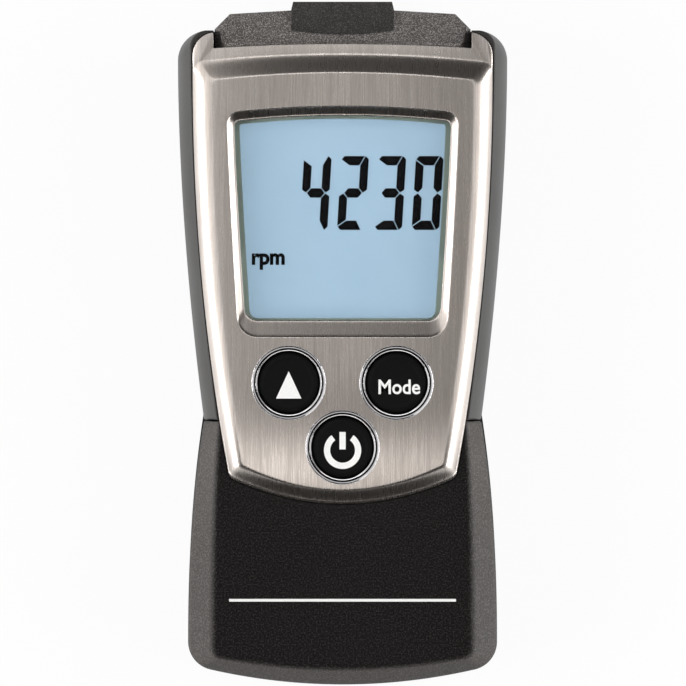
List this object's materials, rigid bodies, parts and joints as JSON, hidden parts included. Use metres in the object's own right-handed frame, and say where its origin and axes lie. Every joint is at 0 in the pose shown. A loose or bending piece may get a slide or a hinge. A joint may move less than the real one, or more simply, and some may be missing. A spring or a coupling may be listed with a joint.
{
  "type": "pocket tachometer",
  "caption": "Pocket optical tachometer with a brushed metal face, lit display, round keys in polished rings, a sensor nose and a sliding battery cover.",
  "frame": {"origin": "middle of the length and width, on the surface that the back lies on", "axes": "+Z out of the display, +Y along the length towards the sensor nose, +X to the right of someone who reads the display"},
  "size_m": [0.046, 0.0952, 0.025],
  "materials": {
    "housing_plastic": "fine spark-eroded texture",
    "grip_plastic": "fine speckled texture",
    "plate_steel": "brushed along the length",
    "ring_chrome": "polished",
    "key_plastic": "smooth matt",
    "legend_white": "printed white",
    "window_clear": "clear",
    "tape_grey": "printed grey green",
    "lcd_glass": "lit pale blue",
    "lcd_ink": "dark liquid crystal",
    "white_plastic": "plain moulded",
    "clear_plastic": "polished light guide",
    "board_green": "solder mask",
    "chip_black": "moulded package",
    "tinned_metal": "satin plated",
    "gold_pads": "gold plated",
    "ceramic": "sintered",
    "silicone": "soft moulded",
    "carbon_rubber": "conducting",
    "cell_sleeve": "plain printed sleeve",
    "spring_steel": "nickel plated",
    "screw_steel": "zinc plated",
    "sensor_red": "deep red filter",
    "lens_clear": "polished",
    "led_red": "clear red resin",
    "diode_dark": "dark resin"
  },
  "bodies": {
    "case": {"rear_housing": "housing_plastic", "front_housing": "grip_plastic", "face_plate": "plate_steel", "housing_screws": "screw_steel", "board_screws": "screw_steel", "display_window": "window_clear", "window_tape": "tape_grey", "lcd_panel": "lcd_glass", "lcd_segments": "lcd_ink", "lcd_frame": "white_plastic", "backlight_guide": "clear_plastic", "backlight_leds": "white_plastic", "zebra_strip": "carbon_rubber", "main_board": "board_green", "microcontroller": "chip_black", "quartz_crystal": "tinned_metal", "board_capacitors": "ceramic", "key_pads": "gold_pads", "keypad_mat": "silicone", "ring_up": "ring_chrome", "ring_mode": "ring_chrome", "ring_power": "ring_chrome", "collar_up": "silicone", "collar_mode": "silicone", "collar_power": "silicone", "cell_left": "cell_sleeve", "cell_right": "cell_sleeve", "spring_left": "spring_steel", "spring_right": "spring_steel", "bridge_contact": "spring_steel", "plus_contact": "spring_steel", "minus_contact": "spring_steel", "sensor_head": "grip_plastic", "sensor_window": "sensor_red", "optics_holder": "chip_black", "emitter_lens": "lens_clear", "receiver_lens": "lens_clear", "emitter_led": "led_red", "receiver_diode": "diode_dark", "sensor_leads": "tinned_metal"},
    "key_up": {"key_cap_up": "key_plastic", "plunger_up": "silicone", "pill_up": "carbon_rubber", "legend_up": "legend_white"},
    "key_mode": {"key_cap_mode": "key_plastic", "plunger_mode": "silicone", "pill_mode": "carbon_rubber"},
    "key_power": {"key_cap_power": "key_plastic", "plunger_power": "silicone", "pill_power": "carbon_rubber", "legend_power": "legend_white"},
    "cover": {"battery_cover": "housing_plastic"}
  },
  "joints": [
    {"name": "key_up_press", "type": "slide", "parent": "case", "child": "key_up", "axis": [0, 0, -1], "range_m": [0, 0.0008], "stiffness_N_per_m": 3000, "springref_m": -0.0002, "deforming": ["collar_up"]},
    {"name": "key_mode_press", "type": "slide", "parent": "case", "child": "key_mode", "axis": [0, 0, -1], "range_m": [0, 0.0008], "stiffness_N_per_m": 3000, "springref_m": -0.0002, "deforming": ["collar_mode"]},
    {"name": "key_power_press", "type": "slide", "parent": "case", "child": "key_power", "axis": [0, 0, -1], "range_m": [0, 0.0008], "stiffness_N_per_m": 3000, "springref_m": -0.0002, "deforming": ["collar_power"]},
    {"name": "battery_cover_slide", "type": "slide", "parent": "case", "child": "cover", "axis": [0, -1, 0], "range_m": [0, 0.057]}
  ]
}
